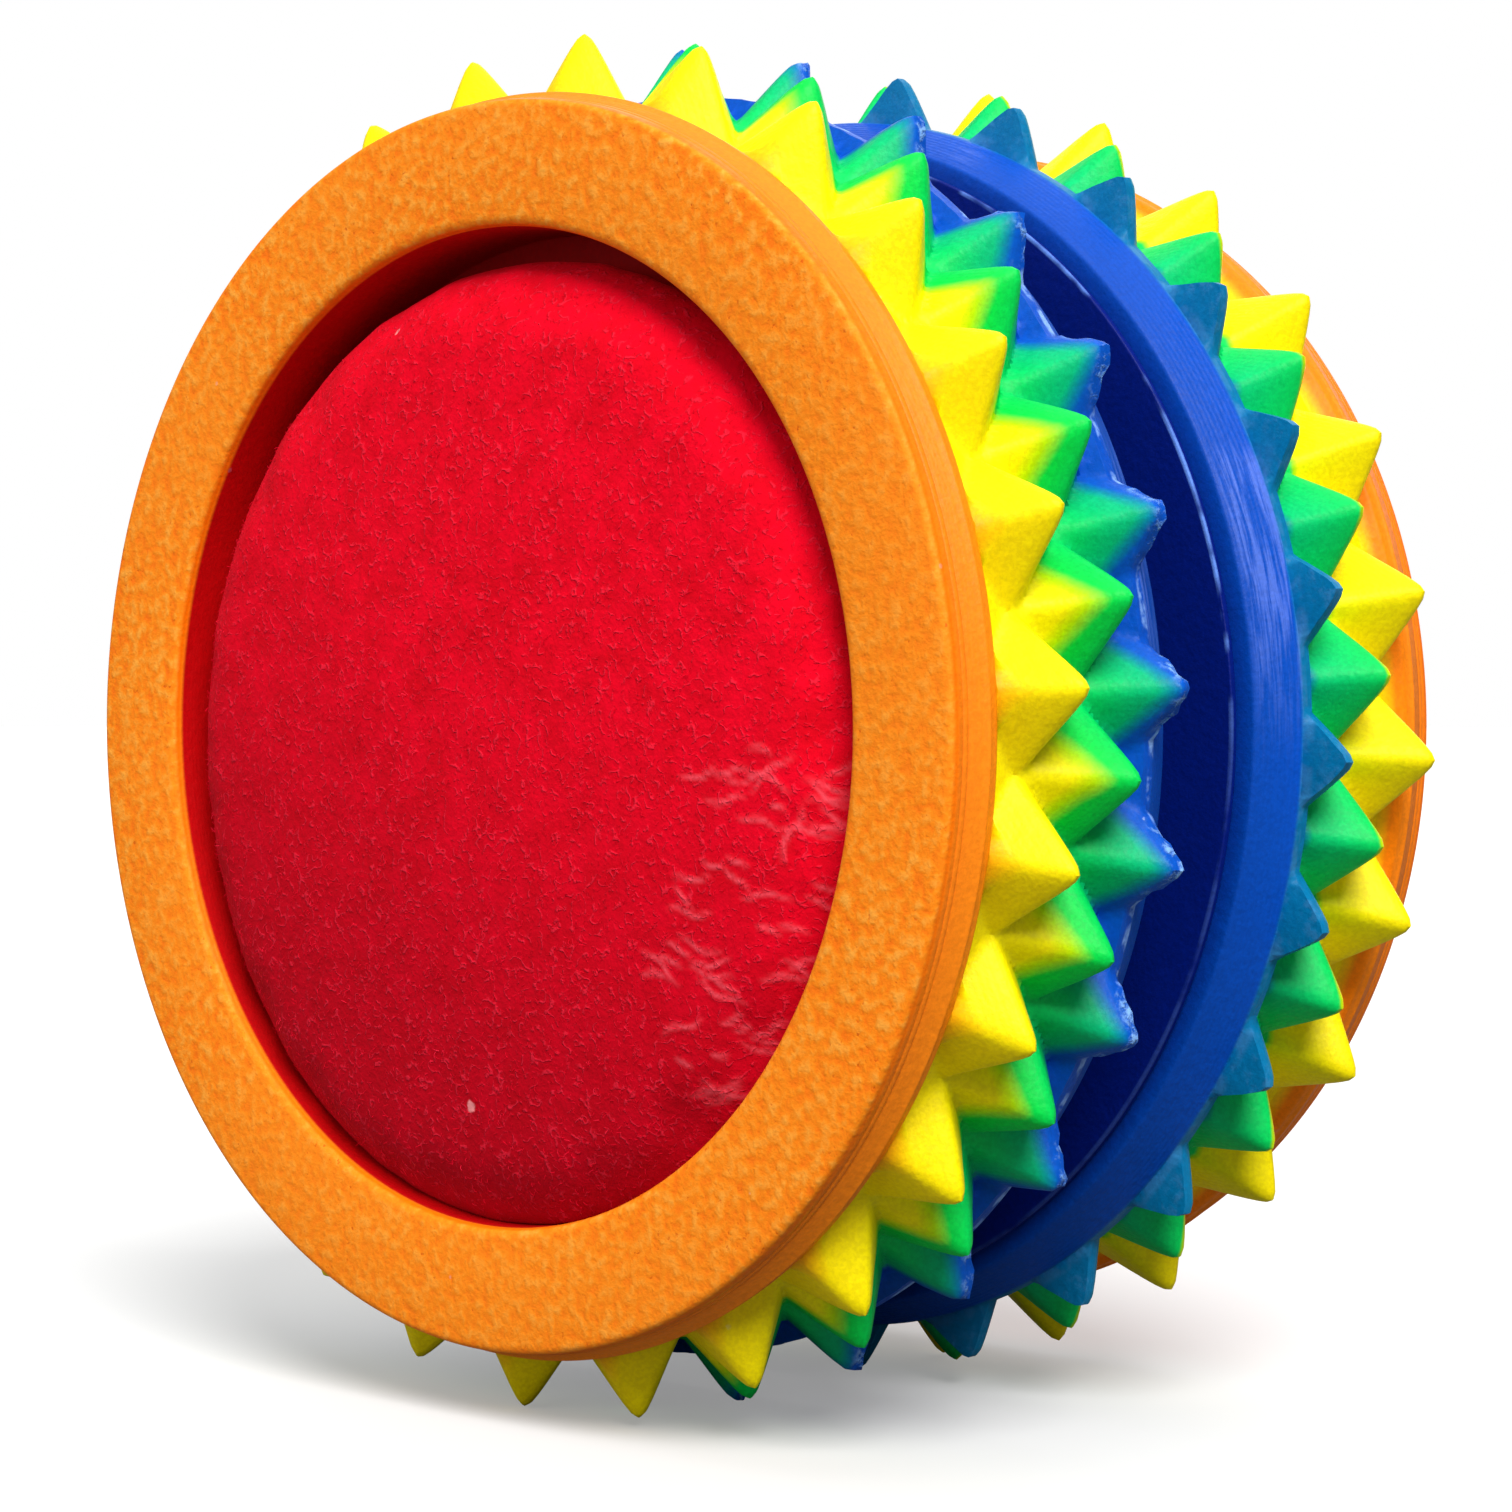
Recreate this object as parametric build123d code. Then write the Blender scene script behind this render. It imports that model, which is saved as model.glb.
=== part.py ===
import math
import os

from build123d import *

# Spiked twist toy: two equal spiked wheels that turn on one axle, with a deep groove between them.
# The axle lies along Y and the front wheel's outer face looks towards -Y. +Z is up.
# The origin is the middle of the axle. All sizes are in millimetres.
# Each half is drawn on the +Y side and mirrored for the front wheel.

# Driving sizes
tip_radius = 30.0           # over the tips of the spikes
half_width = 15.9           # from the centre plane to a face ring
groove_half = 2.43          # from the centre plane to a groove wall
spikes_per_row = 26
front_phase = 3.2           # degrees from +X to the nearest spike of the outer row
rear_phase = 11.2

# Wheel
face_radius = 26.7          # the rim grows a little from the face ring to the spikes
rim_radius = 27.1
valley_radius = 26.6        # between the spikes
valley_start = 2.9          # measured from the face ring
collar_radius = 27.9        # low wall between the last spikes, beside the groove
collar_start = 10.3
collar_shoulder = 10.85
band_edge_radius = 26.9
band_edge = 12.9
lip_radius = 26.1
rib_depth = 1.75            # thin rib round the rim, measured from the face ring
rib_height = 0.15
rib_half_width = 0.2
hole_radius = 21.4          # recess in the face ring, for the pad
hole_edge_fillet = 0.5
face_edge_fillet = 0.35
recess_floor = 10.9

# Spikes: distance of each row from the face ring, and the reach of its base
row_depths = (4.3, 7.5, 10.7)
spike_half_width = 3.15
spike_reach = 3.1
outer_reach = 2.0           # towards the smooth rim
groove_reach = 0.25         # towards the groove, where the last row is cut off almost square
spike_foot_radius = 26.2
tip_flat = 0.08             # share of the base that is left at the tip

# Bearing
bearing_bore = 3.175
bearing_radius = 6.35
bearing_width = 4.76
bearing_lip = 1.0           # wall between the bearing and the groove
lip_bore = 5.7
inner_land = 4.3
outer_land = 5.225
pitch_radius = 4.76
ball_radius = 0.79
race_radius = 0.86
ball_count = 8
cage_thickness = 0.4
cage_width = 2.2
pocket_radius = 0.86
shield_inner = 4.4
shield_outer = 5.6
shield_recess = 0.35
shield_thickness = 0.25
shield_inset = 0.05
seat_gap = 0.01
bearing_start = groove_half + bearing_lip
bearing_end = bearing_start + bearing_width

# Spring ring
clip_gap = 0.03
clip_thickness = 0.7
clip_inner = 5.9
clip_outer = 6.9
clip_groove_radius = 7.0
clip_opening = 3.0
lug_radius = 0.85
lug_hole_radius = 0.35
lug_position = 5.45

# Axle
thread_radius = 2.0
thread_gap = 0.02
sleeve_bore = 2.05
sleeve_gap = 0.01
spacer_radius = 4.2
spacer_bore = 3.2
washer_thickness = 0.8
head_radius = 3.8
head_height = 2.2
socket_across_flats = 2.5
socket_depth = 1.2
nut_across_flats = 7.0
nut_height = 2.2
thread_end = 0.3
spool_radius = 9.0
spool_half_width = 2.13
spool_waist = 8.4

# Pad
pad_drop = 0.6              # the pad sits low in its recess, which leaves a gap at its top
tape_inner = 12.0
tape_outer = 18.5
tape_thickness = 1.0
board_radius = 19.9
board_thickness = 1.2
cover_thickness = 0.7
shoulder_radius = 0.8
shoulder_depth = 0.5        # pad shoulder below the face ring
crown_height = 1.4          # pad crown above the face ring
tape_end = recess_floor + tape_thickness
board_end = tape_end + board_thickness


def turned(points):
    # A ring or disc from its half section, given as (radius, distance along Y).
    return revolve(make_face(Polyline(*points, close=True)), Axis.Y)


def tube(inner, outer, start, end):
    return turned([(inner, start), (outer, start), (outer, end), (inner, end)])


def around(angle, shape):
    # Turn a shape about the axle, from +X towards +Z.
    return Rotation(0, -angle, 0) * shape


def front(shape):
    return mirror(shape, about=Plane.XZ)


def wheel_blank():
    rib = half_width - rib_depth
    outline = [
        (lip_bore, groove_half),
        (lip_radius, groove_half),
        (band_edge_radius, half_width - band_edge),
        (collar_radius, half_width - collar_shoulder),
        (collar_radius, half_width - collar_start),
        (valley_radius, half_width - collar_start),
        (valley_radius, half_width - valley_start),
        (rim_radius, rib - 3 * rib_half_width),
        (rim_radius, rib - rib_half_width),
        (rim_radius + rib_height, rib),
        (rim_radius - rib_height / 2, rib + rib_half_width),
        (face_radius, half_width),
        (hole_radius, half_width),
        (hole_radius, recess_floor),
        (bearing_radius + seat_gap, recess_floor),
        (bearing_radius + seat_gap, bearing_end + 2 * clip_gap + clip_thickness),
        (clip_groove_radius, bearing_end + 2 * clip_gap + clip_thickness),
        (clip_groove_radius, bearing_end),
        (bearing_radius + seat_gap, bearing_end),
        (bearing_radius + seat_gap, bearing_start),
        (lip_bore, bearing_start),
    ]
    section = make_face(Polyline(*outline, close=True))
    face_corners = section.vertices().filter_by_position(Axis.Y, half_width - 0.01, half_width + 0.01)
    face_corners = face_corners.sort_by(Axis.X)
    section = fillet(face_corners[0], hole_edge_fillet)
    face_corners = section.vertices().filter_by_position(Axis.Y, half_width - 0.01, half_width + 0.01)
    section = fillet(face_corners.sort_by(Axis.X)[-1], face_edge_fillet)
    return revolve(section, Axis.Y)


def spike(depth, face_side, groove_side):
    # One four-sided spike at angle 0. Its ridges run along the axle and round the rim.
    position = half_width - depth
    slope = (1 - tip_flat) / (tip_radius - valley_radius)

    def outline(radius):
        share = tip_flat + slope * (tip_radius - radius)
        across = spike_half_width * share
        plane = Plane(origin=(radius, position, 0), x_dir=(0, 1, 0), z_dir=(1, 0, 0))
        corners = [(face_side * share, 0), (0, across), (-groove_side * share, 0), (0, -across)]
        return plane * make_face(Polyline(*corners, close=True))

    return loft([outline(spike_foot_radius), outline(tip_radius)], ruled=True)


def spiked_wheel(phase):
    pitch = 360 / spikes_per_row
    reaches = [(outer_reach, spike_reach), (spike_reach, spike_reach), (spike_reach, groove_reach)]
    spikes = []
    for row, (depth, (face_side, groove_side)) in enumerate(zip(row_depths, reaches)):
        one = spike(depth, face_side, groove_side)
        offset = phase + (pitch / 2 if row == 1 else 0)
        spikes += [around(offset + count * pitch, one) for count in range(spikes_per_row)]
    return wheel_blank().fuse(*spikes)


def pad_profile(inset):
    # Outer line of the padded dome, or of the foam under it, from its side to its crown.
    side = board_radius + cover_thickness - inset
    shoulder = half_width - shoulder_depth - inset
    crown = half_width + crown_height - inset
    low = (side, shoulder - shoulder_radius)
    bend = shoulder_radius * (1 - math.cos(math.radians(45)))
    middle = (side - bend, shoulder - bend)
    high = (side - shoulder_radius, shoulder)
    rise = crown - shoulder
    dome_radius = (high[0] ** 2 + rise ** 2) / (2 * rise)
    half_angle = math.asin(high[0] / dome_radius) / 2
    quarter = (dome_radius * math.sin(half_angle), crown - dome_radius * (1 - math.cos(half_angle)))
    return low, middle, high, quarter, (0, crown)


def pad_cover():
    low, middle, high, quarter, crown = pad_profile(0)
    in_low, in_middle, in_high, in_quarter, in_crown = pad_profile(cover_thickness)
    lines = Curve() + [
        Line((low[0], tape_end), low),
        ThreePointArc(low, middle, high),
        ThreePointArc(high, quarter, crown),
        Line(crown, in_crown),
        ThreePointArc(in_crown, in_quarter, in_high),
        ThreePointArc(in_high, in_middle, in_low),
        Line(in_low, (in_low[0], tape_end)),
        Line((in_low[0], tape_end), (low[0], tape_end)),
    ]
    return Pos(0, 0, -pad_drop) * revolve(make_face(lines), Axis.Y)


def pad_foam():
    low, middle, high, quarter, crown = pad_profile(cover_thickness)
    lines = Curve() + [
        Line((0, board_end), (low[0], board_end)),
        Line((low[0], board_end), low),
        ThreePointArc(low, middle, high),
        ThreePointArc(high, quarter, crown),
        Line(crown, (0, board_end)),
    ]
    return Pos(0, 0, -pad_drop) * revolve(make_face(lines), Axis.Y)


def pad_board():
    return Pos(0, 0, -pad_drop) * turned(
        [(0, tape_end), (board_radius, tape_end), (board_radius, board_end), (0, board_end)]
    )


def pad_tape():
    return Pos(0, 0, -pad_drop) * tube(tape_inner, tape_outer, recess_floor, tape_end)


def race_groove():
    # The ring-shaped track in which the balls run.
    middle = bearing_start + bearing_width / 2
    track = Pos(pitch_radius, middle) * Circle(race_radius)
    return revolve(track, Axis.Y)


def bearing_outer_ring():
    ring = tube(outer_land, bearing_radius, bearing_start, bearing_end) - race_groove()
    for start in (bearing_start, bearing_end - shield_recess):
        ring -= tube(outer_land - 1, shield_outer, start, start + shield_recess)
    return ring


def bearing_inner_ring():
    return tube(bearing_bore, inner_land, bearing_start, bearing_end) - race_groove()


def ball_places():
    middle = bearing_start + bearing_width / 2
    return [around(360 * count / ball_count, Pos(pitch_radius, middle, 0)) for count in range(ball_count)]


def bearing_balls():
    return Compound(children=[place * Sphere(ball_radius) for place in ball_places()])


def bearing_cage():
    middle = bearing_start + bearing_width / 2
    inner = pitch_radius - cage_thickness / 2
    ring = tube(inner, inner + cage_thickness, middle - cage_width / 2, middle + cage_width / 2)
    pocket = Rotation(0, 90, 0) * Cylinder(pocket_radius, 4 * cage_thickness)
    return ring - [place * pocket for place in ball_places()]


def bearing_shields():
    near = bearing_start + shield_inset
    far = bearing_end - shield_inset - shield_thickness
    return Compound(children=[
        tube(shield_inner, shield_outer, start, start + shield_thickness) for start in (near, far)
    ])


def circlip():
    start = bearing_end + clip_gap
    end = start + clip_thickness
    ring = tube(clip_inner, clip_outer, start, end)
    ring -= Pos(0, (start + end) / 2, clip_outer) * Box(clip_opening, 2 * clip_thickness, clip_outer)
    lug_plane = Plane(origin=(0, end, 0), x_dir=(1, 0, 0), z_dir=(0, -1, 0))
    spread = math.degrees(math.asin((clip_opening / 2 + lug_radius) / lug_position))
    for side in (-1, 1):
        angle = math.radians(90 + side * spread)
        spot = Pos(lug_position * math.cos(angle), lug_position * math.sin(angle))
        ring += extrude(lug_plane * (spot * Circle(lug_radius)), clip_thickness)
        ring -= extrude(lug_plane * (spot * Circle(lug_hole_radius)), clip_thickness)
    return ring


def washer():
    return tube(sleeve_bore, spacer_radius, bearing_end, bearing_end + washer_thickness)


def axle_sleeve():
    return tube(sleeve_bore, bearing_bore - sleeve_gap, -bearing_end, bearing_end)


def bearing_spacer():
    return tube(spacer_bore, spacer_radius, -bearing_start, bearing_start)


def centre_spool():
    # Drum on the spacer, with a shallow waist: the floor of the groove between the wheels.
    return turned([
        (spacer_radius + sleeve_gap, -spool_half_width),
        (spool_radius, -spool_half_width),
        (spool_waist, 0),
        (spool_radius, spool_half_width),
        (spacer_radius + sleeve_gap, spool_half_width),
    ])


def axle_bolt():
    seat = bearing_end + washer_thickness
    end = seat + nut_height + thread_end
    bolt = turned([
        (0, -end),
        (thread_radius, -end),
        (thread_radius, seat),
        (head_radius, seat),
        (head_radius, seat + head_height / 3),
        (head_radius * 0.6, seat + head_height),
        (0, seat + head_height),
    ])
    top = Plane(origin=(0, seat + head_height, 0), x_dir=(1, 0, 0), z_dir=(0, 1, 0))
    socket = RegularPolygon(socket_across_flats / 2, 6, major_radius=False)
    return bolt - extrude(top * socket, -socket_depth)


def lock_nut():
    seat = bearing_end + washer_thickness
    face = Plane(origin=(0, -seat, 0), x_dir=(1, 0, 0), z_dir=(0, -1, 0))
    hexagon = RegularPolygon(nut_across_flats / 2, 6, major_radius=False)
    return extrude(face * (hexagon - Circle(thread_radius + thread_gap)), nut_height)


def pieces():
    yield "front_wheel", front(spiked_wheel(front_phase))
    yield "rear_wheel", spiked_wheel(rear_phase)
    halves = {
        "pad_cover": pad_cover(),
        "pad_foam": pad_foam(),
        "pad_board": pad_board(),
        "pad_tape": pad_tape(),
        "bearing_outer_ring": bearing_outer_ring(),
        "bearing_inner_ring": bearing_inner_ring(),
        "bearing_balls": bearing_balls(),
        "bearing_cage": bearing_cage(),
        "bearing_shields": bearing_shields(),
        "circlip": circlip(),
        "washer": washer(),
    }
    for name, shape in halves.items():
        yield "front_" + name, front(shape)
        yield "rear_" + name, shape
    yield "axle_sleeve", axle_sleeve()
    yield "bearing_spacer", bearing_spacer()
    yield "centre_spool", centre_spool()
    yield "axle_bolt", axle_bolt()
    yield "lock_nut", lock_nut()


os.makedirs("parts", exist_ok=True)
for node, shape in pieces():
    export_step(shape, "parts/" + node + ".step")
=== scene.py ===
import math
import random

import bmesh
import bpy
from mathutils import Matrix, Vector, noise


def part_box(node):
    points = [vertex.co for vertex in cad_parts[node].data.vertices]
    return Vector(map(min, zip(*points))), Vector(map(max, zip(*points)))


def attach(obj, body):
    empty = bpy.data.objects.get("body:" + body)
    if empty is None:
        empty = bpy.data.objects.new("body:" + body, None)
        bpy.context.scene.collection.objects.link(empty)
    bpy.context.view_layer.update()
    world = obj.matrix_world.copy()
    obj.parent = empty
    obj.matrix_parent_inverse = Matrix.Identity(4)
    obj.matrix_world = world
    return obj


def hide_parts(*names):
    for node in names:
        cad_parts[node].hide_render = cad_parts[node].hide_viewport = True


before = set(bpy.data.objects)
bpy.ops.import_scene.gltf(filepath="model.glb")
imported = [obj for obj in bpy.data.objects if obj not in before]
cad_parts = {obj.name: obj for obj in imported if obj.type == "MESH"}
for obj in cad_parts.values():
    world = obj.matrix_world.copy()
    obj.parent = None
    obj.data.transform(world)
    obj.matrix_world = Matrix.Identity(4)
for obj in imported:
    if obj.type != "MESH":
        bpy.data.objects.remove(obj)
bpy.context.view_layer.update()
mm = 0.001

# Spiked twist toy. The axle lies along Y, the front wheel is on the -Y side.
# Depths are measured from a wheel's face ring towards the groove, in millimetres.

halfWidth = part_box("rear_wheel")[1].y / mm
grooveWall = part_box("rear_wheel")[0].y / mm
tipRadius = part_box("rear_wheel")[1].z / mm
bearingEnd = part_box("rear_bearing_outer_ring")[1].y / mm
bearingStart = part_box("rear_bearing_outer_ring")[0].y / mm
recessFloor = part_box("rear_pad_tape")[0].y / mm
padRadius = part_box("rear_pad_cover")[1].x / mm
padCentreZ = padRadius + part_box("rear_pad_cover")[0].z / mm
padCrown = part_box("rear_pad_cover")[1].y / mm
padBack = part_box("rear_pad_cover")[0].y / mm
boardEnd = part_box("rear_pad_foam")[0].y / mm
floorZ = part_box("front_wheel")[0].z


def newObject(name, mesh):
    piece = bpy.data.objects.new(name, mesh)
    bpy.context.scene.collection.objects.link(piece)
    return piece


def turnedMesh(name, points, columns, phase=0.0):
    # Turn (radius, y) points, in millimetres, about Y. A radius of 0 becomes one pole.
    built = bmesh.new()
    rings = []
    for radius, along in points:
        if radius == 0:
            rings.append([built.verts.new((0, along * mm, 0))] * columns)
            continue
        ring = []
        for column in range(columns):
            angle = phase + 2 * math.pi * column / columns
            spot = (radius * mm * math.cos(angle), along * mm, radius * mm * math.sin(angle))
            ring.append(built.verts.new(spot))
        rings.append(ring)
    count = len(rings)
    for index in range(count):
        here, there = rings[index], rings[(index + 1) % count]
        for column in range(columns):
            after = (column + 1) % columns
            corners = [here[column], here[after], there[after], there[column]]
            distinct = list(dict.fromkeys(corners))
            if len(distinct) > 2:
                built.faces.new(distinct)
    bmesh.ops.recalc_face_normals(built, faces=built.faces)
    mesh = bpy.data.meshes.new(name)
    built.to_mesh(mesh)
    built.free()
    mesh.shade_smooth()
    return mesh


def roundedOutline(corners):
    # Corners are (radius, y, rounding). Each corner becomes a small curve of four steps.
    steps = 4
    points = []
    count = len(corners)
    for index, (radius, along, rounding) in enumerate(corners):
        here = Vector((radius, along))
        if rounding == 0:
            points.append(here)
            continue
        before = Vector(corners[index - 1][:2])
        after = Vector(corners[(index + 1) % count][:2])
        reach = min(rounding, (before - here).length / 2, (after - here).length / 2)
        start = here + (before - here).normalized() * reach
        end = here + (after - here).normalized() * reach
        for step in range(steps + 1):
            share = step / steps
            points.append(start.lerp(here, share).lerp(here.lerp(end, share), share))
    return [(point.x, point.y) for point in points]


def bakedMesh(piece, name):
    # Plain mesh of a piece with its modifiers, which are then taken off.
    graph = bpy.context.evaluated_depsgraph_get()
    mesh = bpy.data.meshes.new_from_object(piece.evaluated_get(graph), depsgraph=graph)
    mesh.name = name
    piece.modifiers.clear()
    piece.data = mesh


def hexColour(text):
    # sRGB hex to the linear colour that the shader needs.
    values = []
    for start in (0, 2, 4):
        level = int(text[start:start + 2], 16) / 255
        values.append(level / 12.92 if level <= 0.04045 else ((level + 0.055) / 1.055) ** 2.4)
    return (*values, 1.0)


class Maker:
    # Short way to add linked nodes to a shader or geometry tree.
    def __init__(self, tree):
        self.tree = tree

    def put(self, socket, value):
        if isinstance(value, bpy.types.NodeSocket):
            self.tree.links.new(value, socket)
        elif value is not None:
            socket.default_value = value

    def node(self, kind, settings=None, **inputs):
        made = self.tree.nodes.new(kind)
        for key, value in (settings or {}).items():
            setattr(made, key, value)
        for key, value in inputs.items():
            self.put(made.inputs[key.replace("_", " ")], value)
        return made

    def maths(self, operation, first, second=None, third=None, clamp=False):
        made = self.tree.nodes.new("ShaderNodeMath")
        made.operation = operation
        made.use_clamp = clamp
        for socket, value in zip(made.inputs, (first, second, third)):
            self.put(socket, value)
        return made.outputs[0]

    def ramp(self, factor, start, end):
        # 0 at start and 1 at end, with soft ends. The two may run downwards.
        made = self.tree.nodes.new("ShaderNodeMapRange")
        made.interpolation_type = "SMOOTHSTEP"
        self.put(made.inputs["Value"], factor)
        self.put(made.inputs["From Min"], start)
        self.put(made.inputs["From Max"], end)
        return made.outputs["Result"]

    def mask(self, factor, start, full, fade=None, end=None):
        # 0 before start and 1 from full on. With a fade and an end it goes back to 0.
        rising = self.ramp(factor, start, full)
        return rising if fade is None else self.times(rising, self.ramp(factor, end, fade))

    def times(self, first, *others):
        for other in others:
            first = self.maths("MULTIPLY", first, other)
        return first

    def fromAxle(self, axes):
        # Distance from the axle, in metres.
        squares = self.maths("ADD", self.maths("POWER", axes[0], 2.0), self.maths("POWER", axes[2], 2.0))
        return self.maths("SQRT", squares)

    def mix(self, factor, first, second, blend="MIX"):
        made = self.tree.nodes.new("ShaderNodeMix")
        made.data_type = "RGBA"
        made.blend_type = blend
        self.put(made.inputs[0], factor)
        self.put(made.inputs[6], first)
        self.put(made.inputs[7], second)
        return made.outputs[2]

    def colours(self, factor, stops):
        made = self.tree.nodes.new("ShaderNodeValToRGB")
        self.put(made.inputs[0], factor)
        elements = made.color_ramp.elements
        elements[0].position, elements[0].color = stops[0]
        elements[-1].position, elements[-1].color = stops[-1]
        for position, colour in stops[1:-1]:
            elements.new(position).color = colour
        return made.outputs[0]

    def twoTones(self, factor, low, high, start=0.3, end=0.7):
        return self.colours(factor, [(start, hexColour(low)), (end, hexColour(high))])

    def tint(self, colour, factor, text):
        return self.mix(factor, colour, hexColour(text))

    def noise(self, vector, scale, detail=2.0, roughness=0.5):
        made = self.node("ShaderNodeTexNoise", None, Vector=vector, Scale=scale, Detail=detail,
                         Roughness=roughness)
        return made.outputs[0]

    def patches(self, vector, scale, detail, roughness, start, full):
        return self.ramp(self.noise(vector, scale, detail, roughness), start, full)

    def group(self, tree, **inputs):
        kind = "ShaderNodeGroup" if tree.type == "SHADER" else "GeometryNodeGroup"
        made = self.tree.nodes.new(kind)
        made.node_tree = tree
        for key, value in inputs.items():
            self.put(made.inputs[key], value)
        return made


def newGroup(name, kind, inputs, outputs):
    tree = bpy.data.node_groups.new(name, kind)
    for label, socketType, value in inputs:
        socket = tree.interface.new_socket(label, in_out="INPUT", socket_type=socketType)
        if value is not None:
            socket.default_value = value
    for label, socketType in outputs:
        tree.interface.new_socket(label, in_out="OUTPUT", socket_type=socketType)
    entry = tree.nodes.new("NodeGroupInput")
    leave = tree.nodes.new("NodeGroupOutput")
    return tree, Maker(tree), entry.outputs, leave.inputs


def newMaterial(name):
    material = bpy.data.materials.new(name)
    material.use_nodes = True
    tree = material.node_tree
    tree.nodes.clear()
    shader = tree.nodes.new("ShaderNodeBsdfPrincipled")
    output = tree.nodes.new("ShaderNodeOutputMaterial")
    tree.links.new(shader.outputs[0], output.inputs[0])
    maker = Maker(tree)
    place = tree.nodes.new("ShaderNodeTexCoord").outputs["Object"]
    return material, maker, shader, place


def bump(maker, shader, height, distance):
    made = maker.node("ShaderNodeBump", None, Strength=1.0, Distance=distance * mm)
    maker.put(made.inputs["Height"], height)
    maker.put(shader.inputs["Normal"], made.outputs[0])


def setShader(shader, **values):
    for key, value in values.items():
        shader.inputs[key.replace("_", " ")].default_value = value


def specksGroup():
    # Round specks of lint or dust: only a share of the cells holds one.
    tree, maker, given, result = newGroup(
        "lintSpecks", "ShaderNodeTree",
        [("Place", "NodeSocketVector", None), ("Per metre", "NodeSocketFloat", 500.0),
         ("Share", "NodeSocketFloat", 0.1), ("Size", "NodeSocketFloat", 0.2)],
        [("Mask", "NodeSocketFloat")])
    wobble = maker.node("ShaderNodeTexNoise", None, Vector=given["Place"], Scale=2500.0)
    scaled = maker.node("ShaderNodeVectorMath", {"operation": "SCALE"}, Scale=0.00025)
    maker.put(scaled.inputs[0], wobble.outputs["Color"])
    bent = maker.node("ShaderNodeVectorMath", {"operation": "ADD"})
    maker.put(bent.inputs[0], given["Place"])
    maker.put(bent.inputs[1], scaled.outputs[0])
    cells = maker.node("ShaderNodeTexVoronoi", None, Vector=bent.outputs[0], Scale=given["Per metre"])
    chosen = maker.node("ShaderNodeSeparateColor", None, Color=cells.outputs["Color"])
    picked = maker.maths("LESS_THAN", chosen.outputs[0], given["Share"])
    varied = maker.times(given["Size"], maker.maths("ADD", chosen.outputs[1], 0.4))
    near = maker.ramp(cells.outputs["Distance"], varied, maker.times(varied, 0.6))
    maker.put(result["Mask"], maker.times(near, picked))
    return tree


def layersGroup():
    # Height of fine print layers across a depth, a little uneven from layer to layer.
    tree, maker, given, result = newGroup(
        "printLayers", "ShaderNodeTree",
        [("Place", "NodeSocketVector", None), ("Depth", "NodeSocketFloat", 0.0),
         ("Pitch", "NodeSocketFloat", 0.2), ("Waver", "NodeSocketFloat", 0.03)],
        [("Height", "NodeSocketFloat")])
    drift = maker.times(maker.noise(given["Place"], 220.0), given["Waver"])
    turns = maker.maths("DIVIDE", maker.maths("ADD", given["Depth"], drift), given["Pitch"])
    wave = maker.maths("SINE", maker.times(turns, 2 * math.pi))
    step = maker.maths("FLOOR", turns)
    tone = maker.node("ShaderNodeTexWhiteNoise", {"noise_dimensions": "1D"}, W=step)
    rounded = maker.times(maker.maths("ADD", wave, 1.0), 0.35)
    uneven = maker.times(tone.outputs[0], 0.3)
    maker.put(result["Height"], maker.maths("ADD", rounded, uneven))
    return tree


def grainGroup():
    # Two sizes of mottling, for colour and for a pebbled height.
    tree, maker, given, result = newGroup(
        "mottle", "ShaderNodeTree",
        [("Place", "NodeSocketVector", None), ("Fine per metre", "NodeSocketFloat", 3000.0),
         ("Broad per metre", "NodeSocketFloat", 600.0)],
        [("Fine", "NodeSocketFloat"), ("Broad", "NodeSocketFloat"), ("Height", "NodeSocketFloat")])
    fine = maker.noise(given["Place"], given["Fine per metre"], 3.0, 0.6)
    broad = maker.noise(given["Place"], given["Broad per metre"], 3.0, 0.55)
    maker.put(result["Fine"], fine)
    maker.put(result["Broad"], broad)
    maker.put(result["Height"], maker.maths("ADD", maker.times(fine, 0.4), broad))
    return tree


specks = specksGroup()
layers = layersGroup()
mottle = grainGroup()


gradedSettings = {
    "rampLength": 16.0,         # depth that the colour ramp covers
    "radiusPull": 0.2,          # how much earlier the colours change at the root of a spike
    "pullFrom": 27.1,           # radius at which that shift is nothing
    "ragged": {"front": 0.22, "rear": 0.08},
    "whitening": {"front": 0.9, "rear": 0.1},
    "bump": 0.07,
    # The last two stops of each list are painted shade: the colour darkens to navy deep in the groove between
    # the wheels
    "front": [
        (0.0, "FF7400"), (2.2, "FF8800"), (2.55, "FFC400"), (2.95, "FFE800"), (5.6, "F8F000"),
        (6.0, "B8E800"), (6.4, "00D848"), (8.2, "00CC6C"), (9.1, "00BC80"), (9.4, "0088A8"),
        (9.65, "0058C8"), (10.4, "004EC0"), (12.9, "0048B4"), (13.3, "001A7C"), (16.0, "000C50")],
    "rear": [
        (0.0, "FF7400"), (2.6, "FF8800"), (2.9, "FFC400"), (3.2, "FFE800"), (6.8, "FCF000"),
        (7.0, "A0E010"), (7.1, "00D45C"), (9.3, "00D078"), (9.6, "0088A8"), (9.8, "0078AC"),
        (10.66, "0074AC"), (10.84, "004EC0"), (12.9, "0048B4"), (13.3, "001A7C"), (16.0, "000C50")],
    "spots": [(0.32, "FF7404"), (0.5, "FF8C10"), (0.7, "FFAC40")],
}
maskEdges = {                   # millimetres: start and full, then fade and end where there are four
    "face": (0.32, 0.12),
    "smoothRim": (0.3, 0.5, 2.0, 2.4),
    "recessRedDepth": (0.4, 0.6, 5.1, 5.3),
    "recessRedRadius": (21.46, 21.42),
    "cutDepth": (9.9, 10.45, 10.7, 10.85),
    "cutRadius": (28.0, 29.0),
    "bandDepth": (10.75, 10.95, 12.5, 12.9),
    "bandRadius": (26.0, 26.4),
    "lipGlintFromLip": (-0.16, -0.08),
    "lipGlintRadius": (25.95, 26.05),
    "collarGlintDepth": (10.5, 10.64, 10.86, 10.98),
    "collarGlintRadius": (28.5, 28.2),
    "darkDepth": (9.5, 11.0),
}
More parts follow.
